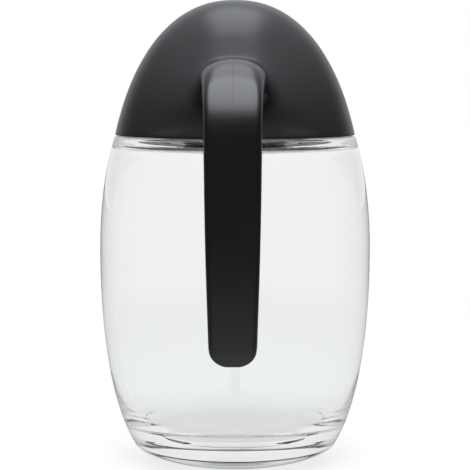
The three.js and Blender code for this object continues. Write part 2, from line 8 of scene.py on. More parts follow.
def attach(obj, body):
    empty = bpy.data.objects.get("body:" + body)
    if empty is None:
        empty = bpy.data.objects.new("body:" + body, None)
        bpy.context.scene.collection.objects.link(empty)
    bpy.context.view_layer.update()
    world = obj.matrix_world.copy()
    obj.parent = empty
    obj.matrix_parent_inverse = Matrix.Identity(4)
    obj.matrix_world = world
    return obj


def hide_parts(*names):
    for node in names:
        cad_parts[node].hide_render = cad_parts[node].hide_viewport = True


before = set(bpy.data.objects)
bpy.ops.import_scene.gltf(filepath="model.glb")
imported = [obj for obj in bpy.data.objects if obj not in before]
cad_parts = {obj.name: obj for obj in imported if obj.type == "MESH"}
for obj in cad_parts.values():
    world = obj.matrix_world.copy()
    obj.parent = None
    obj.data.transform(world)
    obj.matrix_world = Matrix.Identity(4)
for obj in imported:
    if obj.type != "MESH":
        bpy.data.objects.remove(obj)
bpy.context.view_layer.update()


# Glass bottle
# Clear soda-lime glass, blown into a barrel with a heavy floor and a flat shoulder.
# The neck is pressed, with three short thread ridges, and stands up inside the cap.

mm = 0.001
widest_height, widest_radius, glass_wall, floor_thickness = 72.9, 47, 3, 10
upper_reach, upper_power, upper_root = 82.8, 2.17, 2
lower_reach, lower_power, lower_root, floor_root, floor_crowding = 79, 2.06, 4.34, 8, 2.4
foot_radius, heel_height, heel_power = 20, 6, 1.46
ledge_height, ledge_corner = 113.1, 1
ceiling, ceiling_corner = 110.2, 2.4
neck_radius, neck_root, neck_top = 22.5, 0.8, 120.6
bore_radius, bore_round, rim_round = 19, 1.5, 1
ridge_height, ridge_half_width, ridge_middle, ridge_sunk = 1.1, 0.9, 115.6, 0.5
thread_starts, thread_lead, thread_sweep = 3, 12, math.radians(100)


def superellipse(height, centre, reach, radius, power, root):
    share = min(1, abs(height - centre) / reach)
    return radius * (1 - share ** power) ** (1 / root)


def bottle_outside(z):
    if z >= widest_height:
        return superellipse(z, widest_height, upper_reach, widest_radius, upper_power, upper_root)
    return superellipse(z, widest_height, lower_reach, widest_radius, lower_power, lower_root)


def bottle_inside(z):
    radius = widest_radius - glass_wall
    if z >= widest_height:
        return superellipse(z, widest_height, upper_reach - glass_wall, radius, upper_power, upper_root)
    return superellipse(z, widest_height, widest_height - floor_thickness, radius, lower_power, floor_root)


def arc(x, y, radius, start, end, count):
    """Points of an arc about a centre, from one angle to another in degrees."""
    angles = [math.radians(start + (end - start) * i / count) for i in range(count + 1)]
    return [(x + radius * math.cos(a), y + radius * math.sin(a)) for a in angles]


def spun(bm, profile, steps, closed=True):
    """Turns a profile of radius and height, in millimetres, about the upright axis."""
    made = [bm.verts.new((r * mm, 0, z * mm)) for r, z in profile]
    pairs = list(zip(made, made[1:]))
    if closed:
        pairs.append((made[-1], made[0]))
    edges = [bm.edges.new(p) for p in pairs]
    bmesh.ops.spin(bm, geom=made + edges, cent=(0, 0, 0), axis=(0, 0, 1), angle=math.tau,
                   steps=steps, use_merge=True, use_duplicate=False)
    bmesh.ops.remove_doubles(bm, verts=bm.verts, dist=1e-6)
    bmesh.ops.recalc_face_normals(bm, faces=bm.faces)


def finished(bm, name, material, angle=35):
    """The mesh as an object, smooth but for the edges that are sharper than an angle."""
    mesh = bpy.data.meshes.new(name)
    bm.to_mesh(mesh)
    bm.free()
    mesh.shade_smooth()
    mesh.set_sharp_from_angle(angle=math.radians(angle))
    mesh.materials.append(material)
    piece = bpy.data.objects.new(name, mesh)
    bpy.context.scene.collection.objects.link(piece)
    return piece


def bare_solid(bm):
    """The mesh as an object without a finish, to join, cut or be cut."""
    mesh = bpy.data.meshes.new("solid")
    bm.to_mesh(mesh)
    bm.free()
    made = bpy.data.objects.new("solid", mesh)
    bpy.context.scene.collection.objects.link(made)
    return made


def worked(base, *steps):
    """Joins, cuts or keeps what other solids cover, one after another. The other solids are used up."""
    for operation, other in steps:
        step = base.modifiers.new("step", "BOOLEAN")
        step.operation, step.object, step.solver = operation, other, "EXACT"
    bpy.context.view_layer.update()
    result = bpy.data.meshes.new_from_object(base.evaluated_get(bpy.context.evaluated_depsgraph_get()))
    base.modifiers.clear()
    base.data = result
    for operation, other in steps:
        bpy.data.objects.remove(other)
    return base


def dressed(piece, material):
    """One material, and smooth shading but for the sharp edges."""
    piece.data.materials.clear()
    piece.data.materials.append(material)
    piece.data.shade_smooth()
    piece.data.set_sharp_from_angle(angle=math.radians(35))


def set_range(node, low, high, at_low, at_high):
    for socket, number in zip(("From Min", "From Max", "To Min", "To Max"), (low, high, at_low, at_high)):
        node.inputs[socket].default_value = number


heel_top = bottle_outside(heel_height)
heel = []
for i in range(25):
    turn = math.pi / 2 * (1 - i / 24)
    heel.append((foot_radius + (heel_top - foot_radius) * math.cos(turn) ** (2 / heel_power),
                 heel_height - heel_height * math.sin(turn) ** (2 / heel_power)))
corner_height = ledge_height - ledge_corner
barrel_rows = [heel_height + (corner_height - heel_height) * i / 72 for i in range(1, 73)]
inner_corner = ceiling - ceiling_corner
upper_rows = [inner_corner - (inner_corner - widest_height) * i / 30 for i in range(1, 31)]
lower_rows = [floor_thickness + (widest_height - floor_thickness) * (1 - i / 64) ** floor_crowding
              for i in range(1, 64)]

bottle_profile = [(0, 0), *heel, *[(bottle_outside(z), z) for z in barrel_rows]]
bottle_profile += arc(bottle_outside(corner_height) - ledge_corner, corner_height, ledge_corner, 0, 90, 8)[1:]
bottle_profile += arc(neck_radius + neck_root, ledge_height + neck_root, neck_root, 270, 180, 5)
bottle_profile += [(neck_radius, z) for z in (114.5, 115.2, 115.9, 116.6, 117.3, 118, 118.7)]
bottle_profile += arc(neck_radius - rim_round, neck_top - rim_round, rim_round, 0, 90, 6)
bottle_profile += arc(bore_radius + rim_round, neck_top - rim_round, rim_round, 90, 180, 6)
bottle_profile += arc(bore_radius + bore_round, ceiling + bore_round, bore_round, 180, 270, 6)
bottle_profile += arc(bottle_inside(inner_corner) - ceiling_corner, inner_corner, ceiling_corner, 90, 0, 10)
bottle_profile += [(bottle_inside(z), z) for z in upper_rows + lower_rows] + [(0, floor_thickness)]


def thread_ridge(start):
    """A rounded ridge that climbs as it goes round the neck, and sinks into the glass at both ends."""
    steps, run_out, end_depth, slack = 50, 0.09, 0.3, 0.01
    crest = [(neck_radius + ridge_height * (1 - (i / 5) ** 2), ridge_half_width * i / 5)
             for i in range(-5, 6)]
    root = neck_radius - ridge_sunk
    outline = [(root, -ridge_half_width), *crest, (root, ridge_half_width)]
    bm = bmesh.new()
    face = bm.faces.new([bm.verts.new((r * math.cos(start) * mm, r * math.sin(start) * mm,
                                       (ridge_middle + z) * mm)) for r, z in outline])
    climb = thread_lead * thread_sweep / math.tau / steps * mm
    bmesh.ops.spin(bm, geom=[face, *face.edges, *face.verts], cent=(0, 0, 0), axis=(0, 0, 1),
                   angle=thread_sweep, steps=steps, dvec=(0, 0, climb), use_merge=False, use_duplicate=False)
    for v in bm.verts:
        r = math.hypot(v.co.x, v.co.y)
        share = ((math.atan2(v.co.y, v.co.x) - start + slack) % math.tau - slack) / thread_sweep
        end = 1 - min(1, max(0, min(share, 1 - share) / run_out))
        if r > (neck_radius - 0.4) * mm:
            wanted = r - (r - neck_radius * mm + end_depth * mm) * end ** 2
            v.co.x, v.co.y = v.co.x * wanted / r, v.co.y * wanted / r
    bmesh.ops.recalc_face_normals(bm, faces=bm.faces)
    return bare_solid(bm)


glass = bpy.data.materials.new("clear glass")
glass.use_nodes = True
bm = bmesh.new()
spun(bm, bottle_profile, 192, closed=False)
glass_bottle = bare_solid(bm)
glass_bottle.name = "glass_bottle_clear"
worked(glass_bottle, *[("UNION", thread_ridge(i * math.tau / thread_starts)) for i in range(thread_starts)])
dressed(glass_bottle, glass)

# Faintly green where the floor is thick, and a little wavy, as blown glass is
nodes, links = glass.node_tree.nodes, glass.node_tree.links
shader = nodes["Principled BSDF"]
place, split = nodes.new("ShaderNodeTexCoord"), nodes.new("ShaderNodeSeparateXYZ")
low_down, tint = nodes.new("ShaderNodeMapRange"), nodes.new("ShaderNodeMix")
ripple, bump = nodes.new("ShaderNodeTexNoise"), nodes.new("ShaderNodeBump")
links.new(place.outputs["Object"], split.inputs[0])
links.new(split.outputs["Z"], low_down.inputs["Value"])
set_range(low_down, 14 * mm, 2 * mm, 0, 1)
tint.data_type = "RGBA"
tint.inputs[6].default_value = (0.99, 0.995, 0.993, 1)
tint.inputs[7].default_value = (0.955, 0.98, 0.972, 1)
links.new(low_down.outputs[0], tint.inputs[0])
links.new(tint.outputs[2], shader.inputs["Base Color"])
ripple.inputs["Scale"].default_value = 60
ripple.inputs["Detail"].default_value = 1
bump.inputs["Distance"].default_value = 0.08 * mm
links.new(place.outputs["Object"], ripple.inputs["Vector"])
links.new(ripple.outputs["Fac"], bump.inputs["Height"])
links.new(bump.outputs["Normal"], shader.inputs["Normal"])
shader.inputs["Metallic"].default_value = 0
shader.inputs["Roughness"].default_value = 0
shader.inputs["IOR"].default_value = 1.5
shader.inputs["Transmission Weight"].default_value = 1
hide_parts("glass_bottle")
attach(glass_bottle, "glass")


# Neck gasket
# One silicone moulding: a flange that lies on the glass rim, and a sleeve whose three fins press in the bore.
# It is pushed in by hand, without glue, and rises with the cap.

gasket_bore, sleeve_radius, fin_radius = 17.1, 18.2, 18.7
gasket_foot, fin_pitch, fin_count = 111, 3, 3
flange_foot, flange_top, flange_radius, flange_round = 120.9, 122.5, 22.2, 0.3


def moulded_finish_and_sheen():
    """A group of nodes: the grain that a mould leaves, faint rub marks, and edges lightened towards a second
    colour, partly as wear and partly as a painted highlight where edges catch the light.
    """
    group = bpy.data.node_groups.new("moulded finish and edge sheen", "ShaderNodeTree")
    for socket, kind in (("Place", "Vector"), ("Colour", "Color"), ("Worn And Sheen Colour", "Color"),
                         ("Wear And Sheen", "Float"), ("Edge Width", "Float"), ("Grain Scale", "Float"),
                         ("Roughness", "Float"), ("Spread", "Float")):
        group.interface.new_socket(socket, in_out="INPUT", socket_type="NodeSocket" + kind)
    for socket, kind in (("Colour", "Color"), ("Roughness", "Float"), ("Height", "Float")):
        group.interface.new_socket(socket, in_out="OUTPUT", socket_type="NodeSocket" + kind)
    add, link = group.nodes.new, group.links.new
    given, made = add("NodeGroupInput"), add("NodeGroupOutput")

    grain, rubbed = add("ShaderNodeTexNoise"), add("ShaderNodeTexNoise")
    grain.inputs["Detail"].default_value = 2
    rubbed.inputs["Scale"].default_value = 70
    rubbed.inputs["Detail"].default_value = 4
    for noise in (grain, rubbed):
        link(given.outputs["Place"], noise.inputs["Vector"])
    link(given.outputs["Grain Scale"], grain.inputs["Scale"])
    link(grain.outputs["Fac"], made.inputs["Height"])

    # Edges found by a Bevel node are lightened towards a second colour: partly wear, partly a painted
    # highlight standing in for the light that edges catch.
    rounded, flat = add("ShaderNodeBevel"), add("ShaderNodeNewGeometry")
    rounded.samples = 6
    link(given.outputs["Edge Width"], rounded.inputs["Radius"])
    turned = add("ShaderNodeVectorMath")
    turned.operation = "DOT_PRODUCT"
    link(rounded.outputs["Normal"], turned.inputs[0])
    link(flat.outputs["Normal"], turned.inputs[1])
    edge = add("ShaderNodeMapRange")
    link(turned.outputs["Value"], edge.inputs["Value"])
    set_range(edge, 0.99, 0.85, 0, 1)
    worn_and_sheen = add("ShaderNodeMath")
    worn_and_sheen.operation = "MULTIPLY"
    link(edge.outputs[0], worn_and_sheen.inputs[0])
    link(given.outputs["Wear And Sheen"], worn_and_sheen.inputs[1])
    colour = add("ShaderNodeMix")
    colour.data_type = "RGBA"
    link(worn_and_sheen.outputs[0], colour.inputs[0])
    link(given.outputs["Colour"], colour.inputs[6])
    link(given.outputs["Worn And Sheen Colour"], colour.inputs[7])
    link(colour.outputs[2], made.inputs["Colour"])

    centred, spread, rough = add("ShaderNodeMath"), add("ShaderNodeMath"), add("ShaderNodeMath")
    centred.operation, spread.operation = "SUBTRACT", "MULTIPLY"
    link(rubbed.outputs["Fac"], centred.inputs[0])
    centred.inputs[1].default_value = 0.5
    link(centred.outputs[0], spread.inputs[0])
    link(given.outputs["Spread"], spread.inputs[1])
    link(spread.outputs[0], rough.inputs[0])
    link(given.outputs["Roughness"], rough.inputs[1])
    link(rough.outputs[0], made.inputs["Roughness"])
    return group


finish_and_sheen_group = moulded_finish_and_sheen()


def moulded(name, colour, worn_and_sheen, wear_and_sheen, edge, grain, depth, roughness, spread, specular=0.5, ior=1.5):
    """A moulded material. Edge width and grain depth are in millimetres, the scale in grains a metre."""
    made = bpy.data.materials.new(name)
    made.use_nodes = True
    nodes, links = made.node_tree.nodes, made.node_tree.links
    shader = nodes["Principled BSDF"]
    shader.inputs["Specular IOR Level"].default_value = specular
    shader.inputs["IOR"].default_value = ior
    place, finish = nodes.new("ShaderNodeTexCoord"), nodes.new("ShaderNodeGroup")
    bump = nodes.new("ShaderNodeBump")
    finish.node_tree = finish_and_sheen_group
    links.new(place.outputs["Object"], finish.inputs["Place"])
    # The second colour on the edges is partly wear and partly painted highlight.
    for socket, value in (("Colour", (*colour, 1)), ("Worn And Sheen Colour", (*worn_and_sheen, 1)), ("Wear And Sheen", wear_and_sheen),
                          ("Edge Width", edge * mm), ("Grain Scale", grain), ("Roughness", roughness),
                          ("Spread", spread)):
        finish.inputs[socket].default_value = value
    bump.inputs["Distance"].default_value = depth * mm
    links.new(finish.outputs["Height"], bump.inputs["Height"])
    links.new(finish.outputs["Colour"], shader.inputs["Base Color"])
    links.new(finish.outputs["Roughness"], shader.inputs["Roughness"])
    links.new(bump.outputs["Normal"], shader.inputs["Normal"])
    return made


# Edges lightened towards the second colour: partly wear, partly painted highlight.
silicone = moulded("black silicone", (0.012, 0.012, 0.014), (0.02, 0.02, 0.022), wear_and_sheen=0.4, edge=0.2,
                   grain=900, depth=0.01, roughness=0.55, spread=0.15)
gasket_profile = [(gasket_bore, gasket_foot)]
for i in range(fin_count):
    low = gasket_foot + fin_pitch * i
    gasket_profile += [(sleeve_radius, low)] if i else []
    gasket_profile += [(fin_radius - 0.15, low), (fin_radius, low + 0.3), (fin_radius, low + 0.7),
                       (sleeve_radius, low + 1)]
gasket_profile += [(sleeve_radius, flange_foot), (flange_radius - flange_round, flange_foot),
                   (flange_radius, flange_foot + flange_round), (flange_radius, flange_top - flange_round),
                   (flange_radius - flange_round, flange_top), (gasket_bore, flange_top)]
bm = bmesh.new()
spun(bm, gasket_profile, 128)
neck_gasket = finished(bm, "neck_gasket_silicone", silicone)
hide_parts("neck_gasket")
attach(neck_gasket, "seal")


# Inner cap
# The threaded inner part of the cap, moulded in black plastic. Its deck carries the spout and the vent.
# Its flange snaps into a groove in the dome.

# Edges lightened towards the second colour: partly wear, partly painted highlight.
inner_plastic = moulded("black moulding", (0.014, 0.014, 0.016), (0.026, 0.026, 0.03), wear_and_sheen=0.5, edge=0.2,
                        grain=1500, depth=0.004, roughness=0.28, spread=0.12)
moulding_edge = 0.2


def finished_copy(node, name, material, bevel):
    """A copy of a CAD node's mesh, merged, with its sharp edges broken."""
    bm = bmesh.new()
    bm.from_mesh(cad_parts[node].data)
    bmesh.ops.remove_doubles(bm, verts=bm.verts, dist=1e-6)
    bmesh.ops.dissolve_limit(bm, angle_limit=math.radians(0.5), verts=bm.verts, edges=bm.edges)
    sharp = [e for e in bm.edges if len(e.link_faces) == 2 and e.calc_face_angle() > math.radians(35)]
    bmesh.ops.bevel(bm, geom=sharp, offset=bevel * mm, offset_type="OFFSET", segments=2, profile=0.5,
                    affect="EDGES", material=-1, clamp_overlap=True)
    return finished(bm, name, material, 25)


inner_cap = finished_copy("inner_cap", "inner_cap_moulding", inner_plastic, moulding_edge)
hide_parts("inner_cap")
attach(inner_cap, "cap")


# Air vent
# A moulded tube pressed through the deck lets air in as oil leaves.
# A silicone valve with a small hole is pushed over its top.

vent_edge = 0.15
vent_tube = finished_copy("vent_tube", "vent_tube_moulding", inner_plastic, vent_edge)
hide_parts("vent_tube")
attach(vent_tube, "cap")
vent_valve = finished_copy("vent_valve", "vent_valve_silicone", silicone, vent_edge)
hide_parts("vent_valve")
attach(vent_valve, "cap")


# Pouring spout
# A channel moulded in black plastic leads oil from the deck to the dome's front. It ends there in an open
# gutter, and a silicone grommet seals its foot in the deck.

spout_grommet = finished_copy("spout_grommet", "spout_grommet_silicone", silicone, moulding_edge)
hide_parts("spout_grommet")
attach(spout_grommet, "cap")
pour_spout = finished_copy("pour_spout", "pour_spout_moulding", inner_plastic, moulding_edge)
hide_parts("pour_spout")
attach(pour_spout, "cap")


# Dome with handle
# One charcoal moulding with a satin, spark-eroded surface. The handle runs out of the dome's back through a
# wide fillet. The two halves of the mould meet in a fine line over the handle's arch.

dome_middle, dome_reach, dome_radius, dome_power, dome_wall = 77.4, 82.6, 45, 2.225, 2.4
dome_edge, dome_top = 113.5, 160
bend_y, bend_z, bend_radius = -62, 119.8, 20
strap_half, strap_depth, strap_corner, strap_taper = 9.1, 5.5, 2.3, 1.7
tip_half, tip_depth, tip_corner, tip_z = 7.3, 4.5, 3, 44.5
handle_back = bend_y - bend_radius


def dome_outside(z, inset=0):
    return superellipse(z, dome_middle, dome_reach - inset, dome_radius - inset, dome_power, dome_power)


def through(points):
    """Control points whose smoothed curve runs through the given ones. The end points stay."""
    made = [Vector(p) for p in points]
    inner = [made[i] * (4 / 3) - (made[i - 1] + made[i + 1]) / 6 for i in range(1, len(made) - 1)]
    return [made[0], *inner, made[-1]]


columns = 28
spread = 3 / (2 + math.cos(math.tau / columns))


def cage_spun(bm, curve):
    """Turns a curve of control points, in millimetres, into the columns of a cage."""
    made = [bm.verts.new((0, -p.x * spread * mm, p.z * mm)) for p in curve]
    edges = [bm.edges.new(pair) for pair in zip(made, made[1:])]
    bmesh.ops.spin(bm, geom=made + edges, cent=(0, 0, 0), axis=(0, 0, 1), angle=math.tau, steps=columns,
                   use_merge=True, use_duplicate=False)
    bmesh.ops.remove_doubles(bm, verts=bm.verts, dist=1e-6)


root_rows = [116.4, 123, 129.6, 136.2, 142.6]
dome_rows = [*root_rows, 147.6, 152, 155.6, 158.1, 159.45, 159.93]
edge_radius = dome_outside(dome_edge)
lower = [(edge_radius - 0.8, dome_edge), (edge_radius - 0.1, dome_edge),
         (dome_outside(114.1), 114.1), (dome_outside(115.1), 115.1)]
curve = through([(r, 0, z) for r, z in lower + [(dome_outside(z), z) for z in dome_rows] + [(0, dome_top)]])
curve[1] = Vector((lower[1][0], 0, lower[1][1]))
bm = bmesh.new()
cage_spun(bm, curve)

# The patch of 4 by 4 faces where the handle leaves, and the 16 points about it, placed on an oval
root_middle = root_rows[2]
patch = [f for f in bm.faces
         if abs(math.atan2(f.calc_center_median().x, -f.calc_center_median().y)) < 2 * math.tau / columns
         and root_rows[0] < f.calc_center_median().z / mm < root_rows[-1]]
bmesh.ops.delete(bm, geom=patch, context="FACES")
loop = [e for e in bm.edges if e.is_boundary and e.verts[0].co.z > (dome_edge + 1.5) * mm]
around = {v: math.atan2(v.co.z / mm - root_middle, v.co.x / mm) for e in loop for v in e.verts}
front = sorted(around, key=lambda v: (around[v] + 0.1) % math.tau)


def on_dome(x, z, out=0):
    """A point on the back of the dome's cage, or out from it by a distance."""
    return Vector((x, -math.sqrt(max(0, (dome_outside(z) * spread) ** 2 - x * x)) - out, z))


def section(half, depth, flat=1.0, tight=3.0, chamfer=0.0):
    """Sixteen points about a section, anticlockwise from the middle of a side. It is an ellipse where flat
    is 0, and a rectangle with close corners where flat is 1. A chamfer makes the corners steeper."""
    a, b = half - tight + 0.8 * chamfer, depth - tight * 0.8 - chamfer
    c, e = half - chamfer, depth - 0.5 * chamfer
    quarter = [(half, 0), (half, b), (c, e), (a, depth)]
    opposite = [(0, depth), (-a, depth), (-c, e), (-half, b)]
    boxed = quarter + opposite + [(-x, -y) for x, y in quarter + opposite]
    turns = [i * math.tau / 16 for i in range(16)]
    round_ones = [(1.06 * half * math.cos(t), 1.026 * depth * math.sin(t)) for t in turns]
    return [(x + (u - x) * flat, y + (v - y) * flat) for (x, y), (u, v) in zip(round_ones, boxed)]


def oval(half, middle, top, foot, squareness):
    """Sixteen points about an oval that is widest at its middle height, anticlockwise from a side."""
    places = []
    for i in range(16):
        across, up = math.cos(i * math.tau / 16), math.sin(i * math.tau / 16)
        reach = top - middle if up > 0 else middle - foot
        places.append((half * math.copysign(abs(across) ** squareness, across),
                       middle + reach * math.copysign(abs(up) ** squareness, up)))
    return places


# The fillet at the root, the arch, the straight drop and the rounded tip, as rings of 16 points
rim = oval(17.2, 127, 140.8, 117.5, 0.85)
neck = oval(10.9, 131.6, 140.1, 126, 1)
fillet_reach = 6
for v, place in zip(front, rim):
    v.co = on_dome(*place) * mm
rings = []
for turn in (20, 42, 66, 90):
    near, out = math.sin(math.radians(turn)), 1 - math.cos(math.radians(turn))
    rings.append([on_dome(a + (x - a) * near, b + (z - b) * near, fillet_reach * out)
                  for (a, b), (x, z) in zip(rim, neck)])
fillet_end = rings[-1]
bend_top = [Vector((x, bend_y, bend_z + bend_radius - 5.6 + d)) for x, d in section(9.9, 5.6, 0)]
for share in (0.35, 0.7):
    rings.append([start.lerp(end, share) for start, end in zip(fillet_end, bend_top)])
for step, half, depth, flat in ((0, 9.9, 5.6, 0), (1, 9.7, 5.5, 0.15), (2, 9.45, 5.5, 0.6),
                                (3, 9.25, 5.5, 1), (4, 9.15, 5.5, 1)):
    turn = math.radians(22.5 * step)
    rings.append([Vector((x, bend_y - (bend_radius - depth + d) * math.sin(turn),
                          bend_z + (bend_radius - depth + d) * math.cos(turn)))
                  for x, d in section(half, depth, flat, strap_corner, 0.7)])
for share in (0.12, 0.3, 0.5, 0.7, 0.85, 0.925):
    half = strap_half - (strap_half - tip_half) * share ** strap_taper
    depth = strap_depth - (strap_depth - tip_depth) * share ** strap_taper
    corner, chamfer = min(tip_corner, strap_corner + 1.5 * share), max(0, 0.7 - 1.5 * share)
    rings.append([Vector((x, depth + handle_back - d, bend_z - (bend_z - tip_z) * share))
                  for x, d in section(half, depth, 1, corner, chamfer)])
for above_tip, narrow in ((3.4, 0.93), (1.9, 0.76), (0.8, 0.5), (0.2, 0.22)):
    half, depth = tip_half * narrow, tip_depth * narrow ** 0.25
    rings.append([Vector((x, tip_depth + handle_back - d, tip_z + above_tip))
                  for x, d in section(half, depth, 1, tip_corner * narrow)])
lines = [[ring[i] for ring in rings] for i in range(16)]
lines = [line[:4] + through(line[3:])[1:] for line in lines]
for step in range(len(rings)):
    made = bmesh.ops.extrude_edge_only(bm, edges=loop)["geom"]
    loop = [g for g in made if isinstance(g, bmesh.types.BMEdge) and g.is_boundary]
    ends = {v for e in loop for v in e.verts}
    front = [next(e.other_vert(v) for e in v.link_edges if e.other_vert(v) in ends) for v in front]
    for v, line in zip(front, lines):
        v.co = line[step] * mm
bmesh.ops.edgeloop_fill(bm, edges=loop)

# The wall's inside, joined to the outside at the edge
inside_rows = [dome_edge, 114.3, 118, 124, 130, 136, 142, 147, 151, 154, 156, 157.2, 157.55]
inside = [(dome_outside(z, dome_wall), 0, z) for z in inside_rows] + [(0, 0, dome_top - dome_wall)]
cage_spun(bm, through(inside))
bmesh.ops.bridge_loops(bm, edges=[e for e in bm.edges if e.is_boundary])
bmesh.ops.recalc_face_normals(bm, faces=bm.faces)

# The edges are made several times lighter than the body: partly wear, partly a painted highlight on the
# strap's edges.
charcoal = moulded("charcoal satin moulding", (0.0055, 0.0058, 0.0076), (0.03, 0.031, 0.037), wear_and_sheen=0.7,
                   edge=0.5, grain=2600, depth=0.0035, roughness=0.33, spread=0.06, specular=0.8, ior=1.55)

# The mould's parting line, a fine groove over the handle's arch that has nearly gone below it
nodes, links = charcoal.node_tree.nodes, charcoal.node_tree.links
place, split = nodes.new("ShaderNodeTexCoord"), nodes.new("ShaderNodeSeparateXYZ")
links.new(place.outputs["Object"], split.inputs[0])
off_middle, depth, height = [nodes.new("ShaderNodeMath") for i in range(3)]
groove, on_handle, on_arch = [nodes.new("ShaderNodeMapRange") for i in range(3)]
off_middle.operation, depth.operation, height.operation = "ABSOLUTE", "MULTIPLY", "SUBTRACT"
links.new(split.outputs["X"], off_middle.inputs[0])
links.new(off_middle.outputs[0], groove.inputs["Value"])
links.new(split.outputs["Y"], on_handle.inputs["Value"])
links.new(split.outputs["Z"], on_arch.inputs["Value"])
links.new(on_arch.outputs[0], groove.inputs["To Min"])
for node in (groove, on_handle, on_arch):
    node.interpolation_type = "SMOOTHSTEP"
set_range(groove, 0.05 * mm, 0.22 * mm, 8, 0)
set_range(on_handle, -36 * mm, -44 * mm, 0, 1)
set_range(on_arch, 118 * mm, 138 * mm, 1, 12)
links.new(groove.outputs[0], depth.inputs[0])
links.new(on_handle.outputs[0], depth.inputs[1])
bump = next(n for n in nodes if n.bl_idname == "ShaderNodeBump")
links.new(bump.inputs["Height"].links[0].from_socket, height.inputs[0])
links.new(depth.outputs[0], height.inputs[1])
links.new(height.outputs[0], bump.inputs["Height"])
dome = finished(bm, "dome_with_handle_moulding", charcoal, 180)
smooth = dome.modifiers.new("smooth", "SUBSURF")
smooth.levels = 3
smooth.render_levels = 3
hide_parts("dome_with_handle")
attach(dome, "cap")


# The flap's opening, hinge ears and spout slot
# The mould leaves these openings in the dome's front, with two ears inside that hold the pin.
# They are cut here in the finished shell, and so is the groove that holds the inner cap's flange.

pin_y, pin_z = 23.98, 143.55
pin_hole, ear_radius, ear_span = 1.12, 3.4, 25.6
knuckle_room_radius, knuckle_room = 4.8, 19.6
groove_foot, groove_top, groove_depth = 114.9, 117.3, 0.9
flap_half, flap_tip_half, flap_tip_length, flap_foot, flap_gap = 9.4, 7.5, 4, 127.2, 0.4
skin = 0.05


def prism(outline, start, end, place=None):
    """An outline in X and Z, in millimetres, extruded along Y between two places, then moved by a matrix."""
    bm = bmesh.new()
    face = bm.faces.new([bm.verts.new((x * mm, start * mm, z * mm)) for x, z in outline])
    made = bmesh.ops.extrude_face_region(bm, geom=[face])["geom"]
    moved = [g for g in made if isinstance(g, bmesh.types.BMVert)]
    bmesh.ops.translate(bm, verts=moved, vec=(0, (end - start) * mm, 0))
    bmesh.ops.recalc_face_normals(bm, faces=bm.faces)
    if place:
        bmesh.ops.transform(bm, matrix=place, verts=bm.verts)
    return bare_solid(bm)


def box_solid(low, high):
    corners = [(low[0], low[2]), (high[0], low[2]), (high[0], high[2]), (low[0], high[2])]
    return prism(corners, low[1], high[1])


def cylinder_solid(radius, length, place, segments):
    bm = bmesh.new()
    bmesh.ops.create_cone(bm, cap_ends=True, segments=segments, radius1=radius * mm, radius2=radius * mm,
                          depth=length * mm, matrix=place)
    return bare_solid(bm)


def rod_solid(radius, length, y, z, segments=64):
    """A rod along X."""
    place = Matrix.Translation((0, y * mm, z * mm)) @ Matrix.Rotation(math.pi / 2, 4, "Y")
    return cylinder_solid(radius, length, place, segments)


def disc_solid(radius, low, high):
    """A disc about the upright axis."""
    return cylinder_solid(radius, high - low, Matrix.Translation((0, 0, (low + high) / 2 * mm)), 192)


def dome_solid(inset, low):
    """The dome as a filled body, taken in by an inset."""
    top = dome_top - inset
    heights = [low + (top - low) * math.sin(math.pi / 2 * i / 40) for i in range(40)]
    bm = bmesh.new()
    spun(bm, [(0, low), *[(dome_outside(z, inset), z) for z in heights], (0, top)], 192, closed=False)
    return bare_solid(bm)


# The flap's top edge lies square to the dome's slope at the hinge. Far corners are well outside the dome
slope = (dome_outside(146.2) - dome_outside(146.4)) / 0.2
square = Vector((1, slope)).normalized()
below_hinge = [(-90, pin_z), (pin_y, pin_z), (pin_y + 90 * square.x, pin_z + 90 * square.y),
               (120, 0), (-90, 0)]
across = Matrix.Rotation(math.pi / 2, 4, "Z")


def tongue(margin):
    """The flap's outline in the dome's front, from its rounded tip up to the hinge."""
    low, half = flap_foot - margin, flap_half + margin
    turns = [math.pi * (1 + i / 32) for i in range(33)]
    tip = [((flap_tip_half + margin) * math.cos(t), low + flap_tip_length + flap_tip_length * math.sin(t))
           for t in turns]
    outline = prism(tip + [(half, pin_z), (half, 165), (-half, 165), (-half, pin_z)], 0, 90)
    return worked(outline, ("INTERSECT", prism(below_hinge, -60, 60, across.inverted())))


ears = worked(rod_solid(ear_radius, ear_span, pin_y, pin_z), ("INTERSECT", dome_solid(skin, dome_edge)))
groove_radius = dome_outside(117, dome_wall) + groove_depth
worked(dome,
       ("UNION", ears),
       ("DIFFERENCE", disc_solid(groove_radius, groove_foot, groove_top)),
       ("DIFFERENCE", tongue(flap_gap)),
       ("DIFFERENCE", rod_solid(knuckle_room_radius, knuckle_room, pin_y, pin_z)),
       ("DIFFERENCE", rod_solid(pin_hole, ear_span + 3, pin_y, pin_z, 32)),
       ("DIFFERENCE", box_solid((-6.5, 0, 125), (6.5, 60, 127.9))))
dressed(dome, charcoal)


# Flap, its pad, weight and pin
# The flap is a tongue of the dome's own skin on a knuckle, moulded with a cradle for a steel slug. The slug
# swings it open when the cruet is tipped. A silicone pad on its inside shuts the spout's mouth.

knuckle_radius, knuckle_span = 4.2, 18.8
slug_radius, slug_length, slug_drop, slug_room_radius, slug_room = 2.3, 15, 7.6, 2.42, 15.24
pin_radius, pin_length = 1, 25.3
mouth_foot, mouth_top, mouth_depth = 125.3, 132.9, 5.4
cradle_low = (-8.2, pin_y - 3.2, pin_z - 8.7)
cradle_high = (8.2, pin_y + 3, pin_z - 0.01)
mouth_low = Vector((dome_outside(mouth_foot) - mouth_depth, mouth_foot))
mouth_high = Vector((dome_outside(mouth_top) - mouth_depth, mouth_top))
mouth = (mouth_high - mouth_low).length
lean = math.atan2(mouth_low.x - mouth_high.x, mouth_high.y - mouth_low.y)
at_mouth = Matrix.Translation((0, mouth_low.x * mm, mouth_low.y * mm)) @ Matrix.Rotation(lean, 4, "X")


